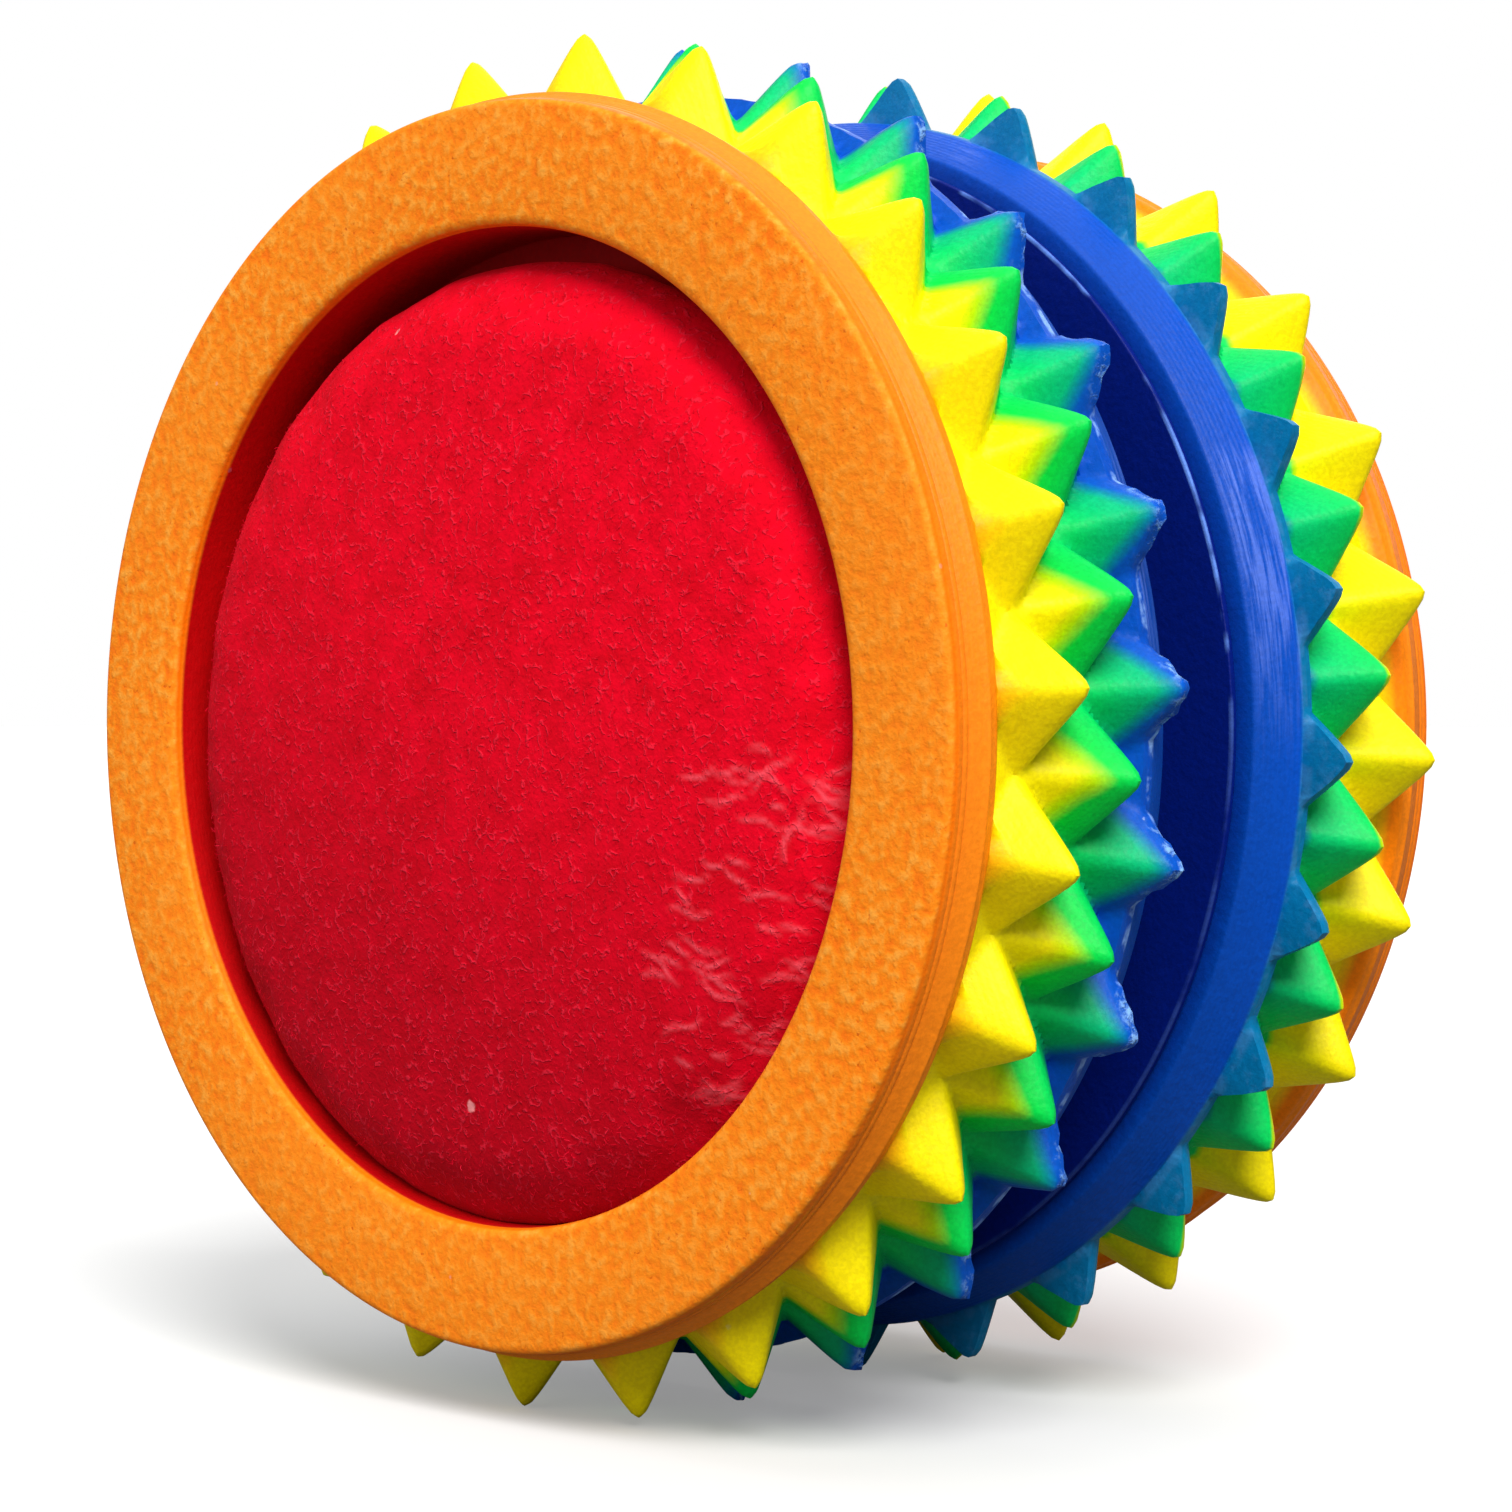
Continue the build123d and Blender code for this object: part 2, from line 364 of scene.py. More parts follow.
patchSettings = {               # noise per metre, detail, roughness, then the levels of start and full
    "calm": (60.0, 2.0, 0.5, 0.35, 0.65),
    "fray": (1500.0, 4.0, 0.65, 0.48, 0.66),
    "bandSheen": (60.0, 2.0, 0.5, 0.46, 0.56),
    "lipGlint": (320.0, 2.0, 0.5, 0.42, 0.56),
    "collarGlint": (900.0, 3.0, 0.6, 0.42, 0.6),
    "sand": (5200.0, 2.0, 0.6, 0.66, 0.34),
}
scratchGrain = (260.0, 5200.0, 260.0)   # scratches and streaks of painted sheen run round the wheel, so they are fine along Y
litTopHeights = (-0.002, 0.006)             # painted sheen and glints show from this height to this one, in metres


def gradedPlastic(name, side):
    material, maker, shader, place = newMaterial(name)
    settings = gradedSettings
    whitening = settings["whitening"][side]
    axes = maker.node("ShaderNodeSeparateXYZ", None, Vector=place).outputs
    along = maker.times(maker.maths("ABSOLUTE", axes[1]), 1 / mm)
    depth = maker.maths("SUBTRACT", halfWidth, along)
    radius = maker.times(maker.fromAxle(axes), 1 / mm)
    grain = maker.group(mottle, Place=place).outputs
    outward = maker.maths("MAXIMUM", maker.maths("SUBTRACT", radius, settings["pullFrom"]), -0.8)
    pull = maker.times(outward, settings["radiusPull"])
    ragged = maker.times(maker.maths("SUBTRACT", grain["Broad"], 0.5), settings["ragged"][side])
    worked = maker.maths("ADD", maker.maths("SUBTRACT", depth, pull), ragged)
    length = settings["rampLength"]
    stops = [(at / length, hexColour(text)) for at, text in settings[side]]
    colour = maker.colours(maker.maths("DIVIDE", worked, length), stops)

    # Pebbled face ring, lighter and darker in spots
    face = maker.mask(depth, *maskEdges["face"])
    pebbleInputs = {"Place": place, "Fine per metre": 4200.0, "Broad per metre": 1900.0}
    pebbles = maker.group(mottle, **pebbleInputs).outputs
    spots = maker.colours(pebbles["Broad"], [(at, hexColour(text)) for at, text in settings["spots"]])
    calm = maker.patches(place, *patchSettings["calm"])
    spots = maker.tint(spots, maker.maths("MULTIPLY_ADD", calm, 0.4, 0.15), "FF8E18")
    pits = maker.times(maker.ramp(pebbles["Fine"], 0.36, 0.3), maker.ramp(grain["Broad"], 0.45, 0.6))
    spots = maker.tint(spots, maker.times(pits, 0.7), "D85200")
    colour = maker.mix(face, colour, spots)
    smoothRim = maker.mask(depth, *maskEdges["smoothRim"])
    colour = maker.tint(colour, maker.times(smoothRim, 0.3), "FF9A2C")

    # Dark red inside the recess behind the ring
    recessRed = maker.mask(depth, *maskEdges["recessRedDepth"])
    recessRed = maker.times(maker.mask(radius, *maskEdges["recessRedRadius"]), recessRed)
    colour = maker.tint(colour, recessRed, "C00006")

    # Scuffed, frayed edges where the last row was cut off
    nearTip = maker.mask(radius, *maskEdges["cutRadius"])
    atCut = maker.mask(depth, *maskEdges["cutDepth"])
    fray = maker.times(nearTip, atCut, maker.patches(place, *patchSettings["fray"]))
    colour = maker.tint(colour, maker.times(fray, whitening), "8CC0FF")

    # Scratch streaks on the band beside the last row with a painted highlight, a pale sheen, on its upper
    # part, and a painted glint along the lip
    stretched = maker.node("ShaderNodeMapping", None, Vector=place, Scale=scratchGrain)
    streaks = maker.patches(stretched.outputs[0], 1.0, 3.0, 0.6, 0.42, 0.62)
    band = maker.mask(depth, *maskEdges["bandDepth"])
    band = maker.times(band, maker.mask(radius, *maskEdges["bandRadius"]))
    litTop = maker.ramp(axes[2], *litTopHeights)
    bandSheen = maker.times(litTop, maker.patches(place, *patchSettings["bandSheen"]))
    scratchesAndSheen = maker.times(band, bandSheen, streaks)
    colour = maker.tint(colour, maker.times(scratchesAndSheen, 0.5), "6C8CF0")
    lip = halfWidth - grooveWall
    # Painted highlight: a pale glint along the lip edge, mostly on the upper half
    lipGlint = maker.mask(depth, *(lip + edge for edge in maskEdges["lipGlintFromLip"]))
    lipGlint = maker.times(lipGlint, maker.mask(radius, *maskEdges["lipGlintRadius"]))
    lipGlint = maker.times(lipGlint, maker.patches(place, *patchSettings["lipGlint"]))
    lipGlint = maker.times(lipGlint, maker.maths("MULTIPLY_ADD", litTop, 0.85, 0.15))
    colour = maker.tint(colour, maker.times(lipGlint, 0.8), "6C9CF8")

    # Painted highlight: a pale, frayed glint on the collar land where the last row meets the band
    collarGlint = maker.mask(depth, *maskEdges["collarGlintDepth"])
    collarGlint = maker.times(collarGlint, maker.mask(radius, *maskEdges["collarGlintRadius"]))
    collarGlint = maker.times(collarGlint, maker.patches(place, *patchSettings["collarGlint"]))
    colour = maker.tint(colour, maker.times(collarGlint, whitening), "88B4F8")

    # Lint shows on the dark part, and a few specks on the rest
    dark = maker.mask(depth, *maskEdges["darkDepth"])
    lint = maker.group(specks, Place=place, Share=0.11, Size=0.1).outputs[0]
    lint = maker.times(lint, maker.maths("MULTIPLY_ADD", dark, 0.7, 0.12))
    colour = maker.tint(colour, lint, "C8DCFF")
    sand = maker.patches(place, *patchSettings["sand"])
    sand = maker.times(sand, maker.maths("MULTIPLY_ADD", face, -0.12, 0.2))
    colour = maker.mix(sand, colour, maker.mix(1.0, colour, hexColour("B4A0A0"), "MULTIPLY"))
    maker.put(shader.inputs["Base Color"], colour)

    line = maker.group(layers, Place=place, Depth=depth).outputs
    rough = maker.maths("MULTIPLY_ADD", grain["Fine"], 0.22, 0.36)
    rough = maker.maths("ADD", rough, maker.times(maker.maths("ADD", face, recessRed), 0.15))
    maker.put(shader.inputs["Roughness"], rough)
    height = maker.times(pebbles["Height"], maker.maths("MULTIPLY_ADD", face, 0.6, 0.6))
    lineHeight = maker.times(line["Height"], maker.maths("SUBTRACT", 1.0, face))
    lineHeight = maker.times(lineHeight, maker.maths("MULTIPLY_ADD", band, 0.08, 0.06))
    for part in (lineHeight, maker.times(scratchesAndSheen, 0.15), maker.times(fray, whitening)):
        height = maker.maths("ADD", height, part)
    bump(maker, shader, height, settings["bump"])
    shader.inputs["Specular IOR Level"].default_value = 0.14
    return material


def bluePlastic():
    material, maker, shader, place = newMaterial("bluePlastic")
    axes = maker.node("ShaderNodeSeparateXYZ", None, Vector=place).outputs
    depth = maker.times(axes[1], 1 / mm)
    grain = maker.group(mottle, Place=place).outputs
    line = maker.group(layers, Place=place, Depth=depth).outputs
    colour = maker.twoTones(grain["Broad"], "002A90", "003CB4")
    maker.put(shader.inputs["Base Color"], colour)
    maker.put(shader.inputs["Roughness"], maker.maths("MULTIPLY_ADD", grain["Fine"], 0.2, 0.4))
    bump(maker, shader, line["Height"], 0.04)
    return material


fleeceSettings = {
    "tones": ("D40018", "EA0022"),
    "wisp": "FF3450",           # raised wisps of the nap
    "lowerLeftShade": "800010",      # painted shade, darker towards the lower left edge
    "crease": "FF6A7A",
    "lint": "FFB0B0",
    "sheen": "FF5064",
    "bump": 0.07,
}


def fleece(name):
    # Short nap brushed into soft squiggles.
    material, maker, shader, place = newMaterial(name)
    settings = fleeceSettings
    grain = maker.group(mottle, Place=place).outputs
    swirl = maker.noise(place, 1500.0, 1.0)
    ridge = maker.maths("ABSOLUTE", maker.maths("SUBTRACT", swirl, 0.5))
    patch = maker.ramp(grain["Fine"], 0.44, 0.6)
    worm = maker.times(maker.ramp(ridge, 0.05, 0.01), patch)
    colour = maker.twoTones(grain["Broad"], *settings["tones"], 0.32, 0.66)
    axes = maker.node("ShaderNodeSeparateXYZ", None, Vector=place).outputs
    # Painted shade: the fleece darkens towards the lower left, away from the key light
    lowerLeftShadeMask = maker.ramp(maker.maths("MULTIPLY_ADD", axes[0], 0.35, axes[2]), 0.006, -0.02)
    colour = maker.tint(colour, maker.times(lowerLeftShadeMask, 0.5), settings["lowerLeftShade"])
    colour = maker.tint(colour, maker.times(worm, 0.35), settings["wisp"])
    fold = maker.node("ShaderNodeAttribute", {"attribute_name": "crease"}).outputs["Fac"]
    colour = maker.tint(colour, maker.times(fold, 0.5), settings["crease"])
    lint = maker.group(specks, Place=place, Share=0.012, Size=0.12).outputs[0]
    colour = maker.tint(colour, maker.times(lint, 0.6), settings["lint"])
    maker.put(shader.inputs["Base Color"], colour)
    setShader(shader, Roughness=0.9, Sheen_Weight=0.06, Sheen_Roughness=0.4)
    shader.inputs["Sheen Tint"].default_value = hexColour(settings["sheen"])
    shader.inputs["Specular IOR Level"].default_value = 0.08
    height = maker.maths("ADD", maker.times(worm, 0.5), grain["Fine"])
    bump(maker, shader, height, settings["bump"])
    return material


def napFibre():
    material, maker, shader, place = newMaterial("napFibre")
    tone = maker.noise(place, 900.0)
    stops = [(0.35, "D0001C"), (0.6, "F00A30"), (0.72, "FF2C4C")]
    colour = maker.colours(tone, [(at, hexColour(text)) for at, text in stops])
    maker.put(shader.inputs["Base Color"], colour)
    maker.put(shader.inputs["Roughness"], maker.maths("MULTIPLY_ADD", tone, 0.2, 0.7))
    shader.inputs["Specular IOR Level"].default_value = 0.1
    return material


def foamMaterial():
    material, maker, shader, place = newMaterial("openFoam")
    cells = maker.node("ShaderNodeTexVoronoi", None, Vector=place, Scale=1800.0)
    pores = maker.ramp(cells.outputs["Distance"], 0.35, 0.6)
    colour = maker.mix(pores, hexColour("B4AE98"), hexColour("E8E4D0"))
    maker.put(shader.inputs["Base Color"], colour)
    maker.put(shader.inputs["Roughness"], maker.maths("MULTIPLY_ADD", pores, -0.1, 0.95))
    bump(maker, shader, pores, 0.25)
    return material


def boardMaterial():
    material, maker, shader, place = newMaterial("fibreBoard")
    stretched = maker.node("ShaderNodeMapping", None, Vector=place, Scale=(4000.0, 900.0, 700.0))
    strands = maker.noise(stretched.outputs[0], 1.0, 4.0, 0.65)
    colour = maker.twoTones(strands, "5A4A38", "8A7458")
    maker.put(shader.inputs["Base Color"], colour)
    maker.put(shader.inputs["Roughness"], maker.maths("MULTIPLY_ADD", strands, 0.2, 0.65))
    bump(maker, shader, strands, 0.08)
    return material


def tapeMaterial():
    material, maker, shader, place = newMaterial("foamTape")
    grain = maker.group(mottle, Place=place).outputs
    colour = maker.twoTones(grain["Fine"], "D8D6CC", "F2F0E8")
    maker.put(shader.inputs["Base Color"], colour)
    maker.put(shader.inputs["Roughness"], maker.maths("MULTIPLY_ADD", grain["Fine"], 0.3, 0.5))
    bump(maker, shader, grain["Fine"], 0.05)
    return material


def nylonMaterial():
    material, maker, shader, place = newMaterial("mouldedNylon")
    grain = maker.group(mottle, Place=place).outputs
    colour = maker.twoTones(grain["Broad"], "DCD2B4", "EEE8D4")
    maker.put(shader.inputs["Base Color"], colour)
    maker.put(shader.inputs["Roughness"], maker.maths("MULTIPLY_ADD", grain["Fine"], 0.2, 0.35))
    bump(maker, shader, grain["Fine"], 0.02)
    return material


def turnedMetal(name, low, high, roughness, lathe):
    # Metal with fine tool marks round the axle and faint stains.
    material, maker, shader, place = newMaterial(name)
    axes = maker.node("ShaderNodeSeparateXYZ", None, Vector=place).outputs
    across = maker.maths("ADD", maker.fromAxle(axes), axes[1])
    markPitch = 0.06 * mm
    marks = maker.maths("SINE", maker.times(across, 2 * math.pi / markPitch))
    grain = maker.group(mottle, Place=place).outputs
    colour = maker.twoTones(grain["Broad"], low, high)
    maker.put(shader.inputs["Base Color"], colour)
    setShader(shader, Metallic=1.0)
    maker.put(shader.inputs["Roughness"], maker.maths("MULTIPLY_ADD", grain["Fine"], 0.25, roughness))
    height = maker.maths("ADD", maker.times(marks, lathe), maker.times(grain["Fine"], 0.4))
    bump(maker, shader, height, 0.01)
    return material


floorSettings = {
    "halfSize": 3.0,            # metres
    "seen": (0.59, 0.61),       # how light it looks to the camera
    "glow": 0.27,               # camera only, so that the shadow is soft
    "thrownBack": "747474",     # what it throws back at the toy
}


def floorMaterial():
    # White where it is seen, and greyer in what it throws back at the toy.
    material, maker, shader, place = newMaterial("paleFloor")
    tone = maker.noise(place, 6.0, 2.0)
    seen = maker.node("ShaderNodeLightPath").outputs["Is Camera Ray"]
    stops = [(at, (level, level, level, 1)) for at, level in zip((0.3, 0.7), floorSettings["seen"])]
    colour = maker.mix(seen, hexColour(floorSettings["thrownBack"]), maker.colours(tone, stops))
    maker.put(shader.inputs["Base Color"], colour)
    shader.inputs["Emission Color"].default_value = (1, 1, 1, 1)
    maker.put(shader.inputs["Emission Strength"], maker.times(seen, floorSettings["glow"]))
    setShader(shader, Roughness=0.9)
    shader.inputs["Specular IOR Level"].default_value = 0.0
    return material


wheelPlastic = {
    "front": gradedPlastic("gradedPlasticFront", "front"),
    "rear": gradedPlastic("gradedPlasticRear", "rear"),
}
redFleece = fleece("redFleece")
nodeMaterials = {
    "pad_board": boardMaterial(),
    "pad_tape": tapeMaterial(),
    "bearing_outer_ring": turnedMetal("groundSteel", "B4B6BA", "D0D2D6", 0.16, 0.5),
    "bearing_balls": turnedMetal("polishedSteel", "C8CACE", "DCDEE2", 0.04, 0.0),
    "bearing_cage": nylonMaterial(),
    "bearing_shields": turnedMetal("pressedSteel", "A8AAAE", "C4C6CA", 0.24, 1.0),
    "circlip": turnedMetal("springSteel", "2C2A2A", "45413E", 0.34, 0.3),
    "axle_bolt": turnedMetal("zincSteel", "A6A8AA", "CCCED0", 0.26, 0.7),
    "bearing_spacer": turnedMetal("turnedAluminium", "B8BABE", "D6D8DC", 0.26, 1.4),
    "centre_spool": bluePlastic(),
}
nodeMaterials["bearing_inner_ring"] = nodeMaterials["bearing_outer_ring"]
for name in ("washer", "axle_sleeve", "lock_nut"):
    nodeMaterials[name] = nodeMaterials["axle_bolt"]
for name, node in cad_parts.items():
    kind = name.removeprefix("front_").removeprefix("rear_")
    if kind in nodeMaterials:
        node.data.materials.clear()
        node.data.materials.append(nodeMaterials[kind])
print("materials done")


wheelSettings = {
    "Spikes per row": 26,
    "Tip radius": tipRadius,
    "Root radius": 26.3,
    "Rim end": 2.2,             # the smooth rim ends at this depth
    "Cut": 10.72,               # the last row is cut off here
    "Rounding": 0.28,           # softness of ridges and tips
    "Hollowing": 1.22,          # above 1 the flanks are hollow
}
rowSettings = [                 # depth, flat land, reach to the face side, reach to the groove side
    (4.3, 0.0, 2.3, 3.2),
    (7.5, 0.0, 3.2, 3.2),
    (10.48, 0.22, 3.1, 0.6),
]
sideSettings = {
    "front": {"way": -1, "phase": 3.2, "fraying": 0.16},
    "rear": {"way": 1, "phase": 11.2, "fraying": 0.03},
}
columnsPerSpike = 24
rimRadius = 27.1
wheelSection = {                # radii of the turned body and a few widths, in millimetres
    "bore": 5.7,
    "lip": 26.15,
    "behindLip": 25.95,
    "bandFoot": 26.85,
    "collar": 27.9,
    "ring": 26.7,
    "recess": 21.4,
    "circlip": 7.0,
    "circlipWidth": 0.76,
    "bearingGap": 0.01,
    "rootEnd": 2.9,             # depth where the roots of the first row meet the rim
    "rowStep": 3.2 / 22,
}


def spikeRowGroup():
    # Radius of one row of four-sided spikes, over an angle (in spikes) and a depth.
    values = {"Turn": 0.0, "Depth": 0.0, "Offset": 0.0, "Row depth": 4.3, "Land": 0.0,
              "Face reach": 3.0, "Groove reach": 3.0, "Tip radius": 30.0, "Root radius": 26.0,
              "Rounding": 0.1, "Hollowing": 1.2}
    inputs = [(label, "NodeSocketFloat", value) for label, value in values.items()]
    tree, maker, given, result = newGroup("spikeRow", "GeometryNodeTree", inputs,
                                          [("Radius", "NodeSocketFloat")])

    def soft(value, scale):
        eased = maker.maths("SQRT", maker.maths("ADD", maker.maths("POWER", value, 2.0),
                                                maker.maths("POWER", scale, 2.0)))
        return maker.maths("SUBTRACT", eased, scale)

    turned = maker.maths("SUBTRACT", given["Turn"], given["Offset"])
    nearest = maker.maths("ROUND", turned)
    across = maker.times(maker.maths("ABSOLUTE", maker.maths("SUBTRACT", turned, nearest)), 2.0)
    away = maker.maths("SUBTRACT", given["Depth"], given["Row depth"])
    distance = maker.maths("ABSOLUTE", away)
    beyond = maker.maths("MAXIMUM", maker.maths("SUBTRACT", distance, given["Land"]), 0.0)
    outward = maker.maths("LESS_THAN", away, 0.0)
    reach = maker.maths("ADD", maker.times(outward, given["Face reach"]),
                        maker.times(maker.maths("SUBTRACT", 1.0, outward), given["Groove reach"]))
    axial = maker.maths("DIVIDE", soft(beyond, given["Rounding"]), reach)
    scale = maker.times(given["Rounding"], 0.28)
    left = maker.maths("SUBTRACT", 1.0, maker.maths("ADD", axial, soft(across, scale)), clamp=True)
    rise = maker.times(maker.maths("POWER", left, given["Hollowing"]),
                       maker.maths("SUBTRACT", given["Tip radius"], given["Root radius"]))
    maker.put(result["Radius"], maker.maths("ADD", rise, given["Root radius"]))
    return tree


def endTree(maker, result, shape, material):
    # Every tree ends in plain geometry with its material.
    whole = maker.node("GeometryNodeRealizeInstances", None, Geometry=shape)
    finished = maker.node("GeometryNodeSetMaterial", None, Geometry=whole.outputs[0], Material=material)
    maker.put(result["Geometry"], finished.outputs[0])


def spikedWheelTree(spikeRow):
    inputs = [("Geometry", "NodeSocketGeometry", None), ("Material", "NodeSocketMaterial", None),
              ("Face position", "NodeSocketFloat", halfWidth), ("Phase", "NodeSocketFloat", 0.0),
              ("Fraying", "NodeSocketFloat", 0.0)]
    inputs += [(label, "NodeSocketFloat", float(value)) for label, value in wheelSettings.items()]
    tree, maker, given, result = newGroup("spikedWheel", "GeometryNodeTree", inputs,
                                          [("Geometry", "NodeSocketGeometry")])
    place = maker.node("GeometryNodeInputPosition").outputs[0]
    axes = maker.node("ShaderNodeSeparateXYZ", None, Vector=place).outputs
    radius = maker.times(maker.fromAxle(axes), 1 / mm)
    depth = maker.maths("SUBTRACT", given["Face position"],
                        maker.times(maker.maths("ABSOLUTE", axes[1]), 1 / mm))
    angle = maker.maths("DEGREES", maker.maths("ARCTAN2", axes[2], axes[0]))
    turn = maker.maths("DIVIDE", maker.times(maker.maths("SUBTRACT", angle, given["Phase"]),
                                             given["Spikes per row"]), 360.0)
    outer = maker.times(maker.maths("GREATER_THAN", radius, 26.0),
                        maker.times(maker.maths("GREATER_THAN", depth, given["Rim end"]),
                                    maker.maths("LESS_THAN", depth, given["Cut"])))
    highest = radius
    for index, (rowDepth, land, faceReach, grooveReach) in enumerate(rowSettings):
        row = maker.group(spikeRow, Turn=turn, Depth=depth)
        for key in ("Tip radius", "Root radius", "Rounding", "Hollowing"):
            maker.put(row.inputs[key], given[key])
        for key, value in (("Offset", 0.5 * (index % 2)), ("Row depth", rowDepth), ("Land", land),
                           ("Face reach", faceReach), ("Groove reach", grooveReach)):
            row.inputs[key].default_value = value
        highest = maker.maths("SMOOTH_MAX", highest, row.outputs[0], 0.12)
    growth = maker.maths("SUBTRACT", maker.maths("DIVIDE", highest, radius), 1.0)
    raised = maker.maths("ADD", maker.times(growth, outer), 1.0)
    grown = maker.node("ShaderNodeCombineXYZ", None, X=maker.times(axes[0], raised), Y=axes[1],
                       Z=maker.times(axes[2], raised)).outputs[0]

    # Frayed tips: only the last row, near its cut and well above the root
    rag = maker.node("ShaderNodeTexNoise", None, Vector=grown, Scale=1300.0, Detail=2.0)
    centred = maker.node("ShaderNodeVectorMath", {"operation": "SUBTRACT"})
    maker.put(centred.inputs[0], rag.outputs["Color"])
    centred.inputs[1].default_value = (0.5, 0.5, 0.5)
    atCut = maker.ramp(depth, 10.0, 10.5)
    high = maker.ramp(highest, 27.6, 28.4)
    strength = maker.times(atCut, high, maker.times(outer, given["Fraying"]))
    shaken = maker.node("ShaderNodeVectorMath", {"operation": "SCALE"},
                        Scale=maker.times(strength, 4 * mm))
    maker.put(shaken.inputs[0], centred.outputs[0])
    total = maker.node("ShaderNodeVectorMath", {"operation": "ADD"})
    maker.put(total.inputs[0], grown)
    maker.put(total.inputs[1], shaken.outputs[0])
    moved = maker.node("GeometryNodeSetPosition", None, Geometry=given["Geometry"], Position=total.outputs[0])
    endTree(maker, result, moved.outputs[0], given["Material"])
    return tree


def setInputs(piece, tree, values):
    modifier = piece.modifiers.new(tree.name, "NODES")
    modifier.node_group = tree
    for socket in tree.interface.items_tree:
        if getattr(socket, "in_out", "") == "INPUT" and socket.name in values:
            modifier[socket.identifier] = values[socket.name]


def wheelOutline():
    # Half section of a wheel on the +Y side: (radius, y).
    def at(depth):
        return halfWidth - depth

    section = wheelSection
    root = wheelSettings["Root radius"]
    clipNear, clipFar = bearingEnd, bearingEnd + section["circlipWidth"]
    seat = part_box("rear_bearing_outer_ring")[1].x / mm + section["bearingGap"]
    before = [
        (section["bore"], grooveWall, 0.15), (section["lip"], grooveWall, 0.1),
        (section["lip"], grooveWall + 0.34, 0.08), (section["behindLip"], grooveWall + 0.42, 0.0),
        (section["behindLip"], grooveWall + 0.5, 0.0), (section["bandFoot"], at(12.87), 0.15),
        (section["collar"], at(10.86), 0.14),
    ]
    after = [
        (root, at(section["rootEnd"]), 0.0), (rimRadius, at(2.3), 0.2), (rimRadius, at(1.95), 0.0),
        (rimRadius + 0.13, at(1.78), 0.1), (rimRadius - 0.08, at(1.55), 0.0),
        (26.87, at(0.92), 0.0), (26.83, at(0.88), 0.0), (26.86, at(0.84), 0.0),
        (26.84, at(0.66), 0.0), (26.79, at(0.62), 0.0), (26.82, at(0.58), 0.0),
        (section["ring"], at(0), 0.35), (section["recess"], at(0), 0.5),
        (section["recess"], recessFloor, 0.1), (seat, recessFloor, 0.1),
        (seat, clipFar, 0.0), (section["circlip"], clipFar, 0.0), (section["circlip"], clipNear, 0.0),
        (seat, clipNear, 0.0), (seat, bearingStart, 0.0), (section["bore"], bearingStart, 0.0),
    ]
    points = roundedOutline(before + [(section["collar"], at(10.28), 0.0)] + after)
    # Fine, even steps over the spikes, between the collar and the root beside the rim
    nearly = 1e-6
    cut = max(i for i, point in enumerate(points) if point[1] <= at(10.8) + nearly and point[0] > 27)
    rest = next(i for i, point in enumerate(points)
                if point[1] >= at(section["rootEnd"]) - nearly and point[0] > 26)
    step = section["rowStep"]
    deepest = wheelSettings["Cut"] - 0.02
    dense = []
    for index in range(int((deepest - section["rootEnd"] - 0.05) / step) + 1):
        depth = deepest - index * step
        slope = min(max((depth - 9.5) / 0.75, 0.0), 1.0)
        dense.append((root + (section["collar"] - root) * slope, at(depth)))
    return points[:cut + 1] + dense + points[rest:]


def buildWheel(side, tree):
    settings = sideSettings[side]
    outline = [(radius, settings["way"] * along) for radius, along in wheelOutline()]
    columns = columnsPerSpike * wheelSettings["Spikes per row"]
    mesh = turnedMesh(side + "WheelBlank", outline, columns, math.radians(settings["phase"]))
    wheel = newObject(side + "_wheel_body", mesh)
    values = {label: float(value) for label, value in wheelSettings.items()}
    values.update({"Phase": settings["phase"], "Fraying": settings["fraying"]})
    values["Material"] = wheelPlastic[side]
    setInputs(wheel, tree, values)
    bakedMesh(wheel, side + "Wheel")
    wheel.data.shade_smooth()
    wheel.data.set_sharp_from_angle(angle=math.radians(52))
    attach(wheel, side + "_wheel")
    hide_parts(side + "_wheel")
    return wheel


wheelTree = spikedWheelTree(spikeRowGroup())
for side in ("front", "rear"):
    wheel = buildWheel(side, wheelTree)
    print(side, "wheel", sum(len(face.vertices) - 2 for face in wheel.data.polygons), "triangles")


padSettings = {
    "shoulder": 1.0,            # rounding of the dome's edge
    "shoulderDrop": 0.6,        # edge of the dome below the face ring
    "swell": 0.95,              # how far the soft edge stands out past its board
    "topGap": 0.6,              # extra gap over the pad, which sags a little
    "wallRadius": 21.36,        # the pad is squeezed where it meets the recess wall
    "softDepth": 1.6,           # below the face ring, where the free dome begins
    "startCrown": 0.75,         # share of the crown before the pad is blown up
    "voxel": 0.75,
    "pressure": 4.0,
    "cap": 0.7,                 # a point moves no further than this
    "unit": 20.0,               # the cloth is simulated at this many times its size
    "napPerSquareMetre": 7.0e6,
    "napLength": 0.22,
    "napRadius": 0.01,
    "napDepth": 1.1,            # the nap grows from this depth outwards
}


def domeOutline(inset, crownShare=1.0, base=None):
    # From the centre of the back, out along the back, up the side and over the dome.
    side = padRadius + padSettings["swell"] - inset
    shoulder = halfWidth - padSettings["shoulderDrop"] - inset
    rise = (padCrown - inset - shoulder) * crownShare
    rounding = padSettings["shoulder"]
    back = padBack if base is None else base
    points = [(side * share, back) for share in (0, 0.25, 0.5, 0.75, 0.93)]
    points += [(side, back), (side, (back + shoulder) / 2)]
    for step in range(6):
        turn = math.pi / 2 * step / 5
        height = shoulder - rounding + rounding * math.sin(turn)
        points.append((side - rounding + rounding * math.cos(turn), height))
    flat = side - rounding
    dome = (flat ** 2 + rise ** 2) / (2 * rise)
    for step in range(1, 15):
        radius = flat * (1 - step / 14)
        points.append((radius, shoulder + rise - dome + math.sqrt(dome ** 2 - radius ** 2)))
    return points


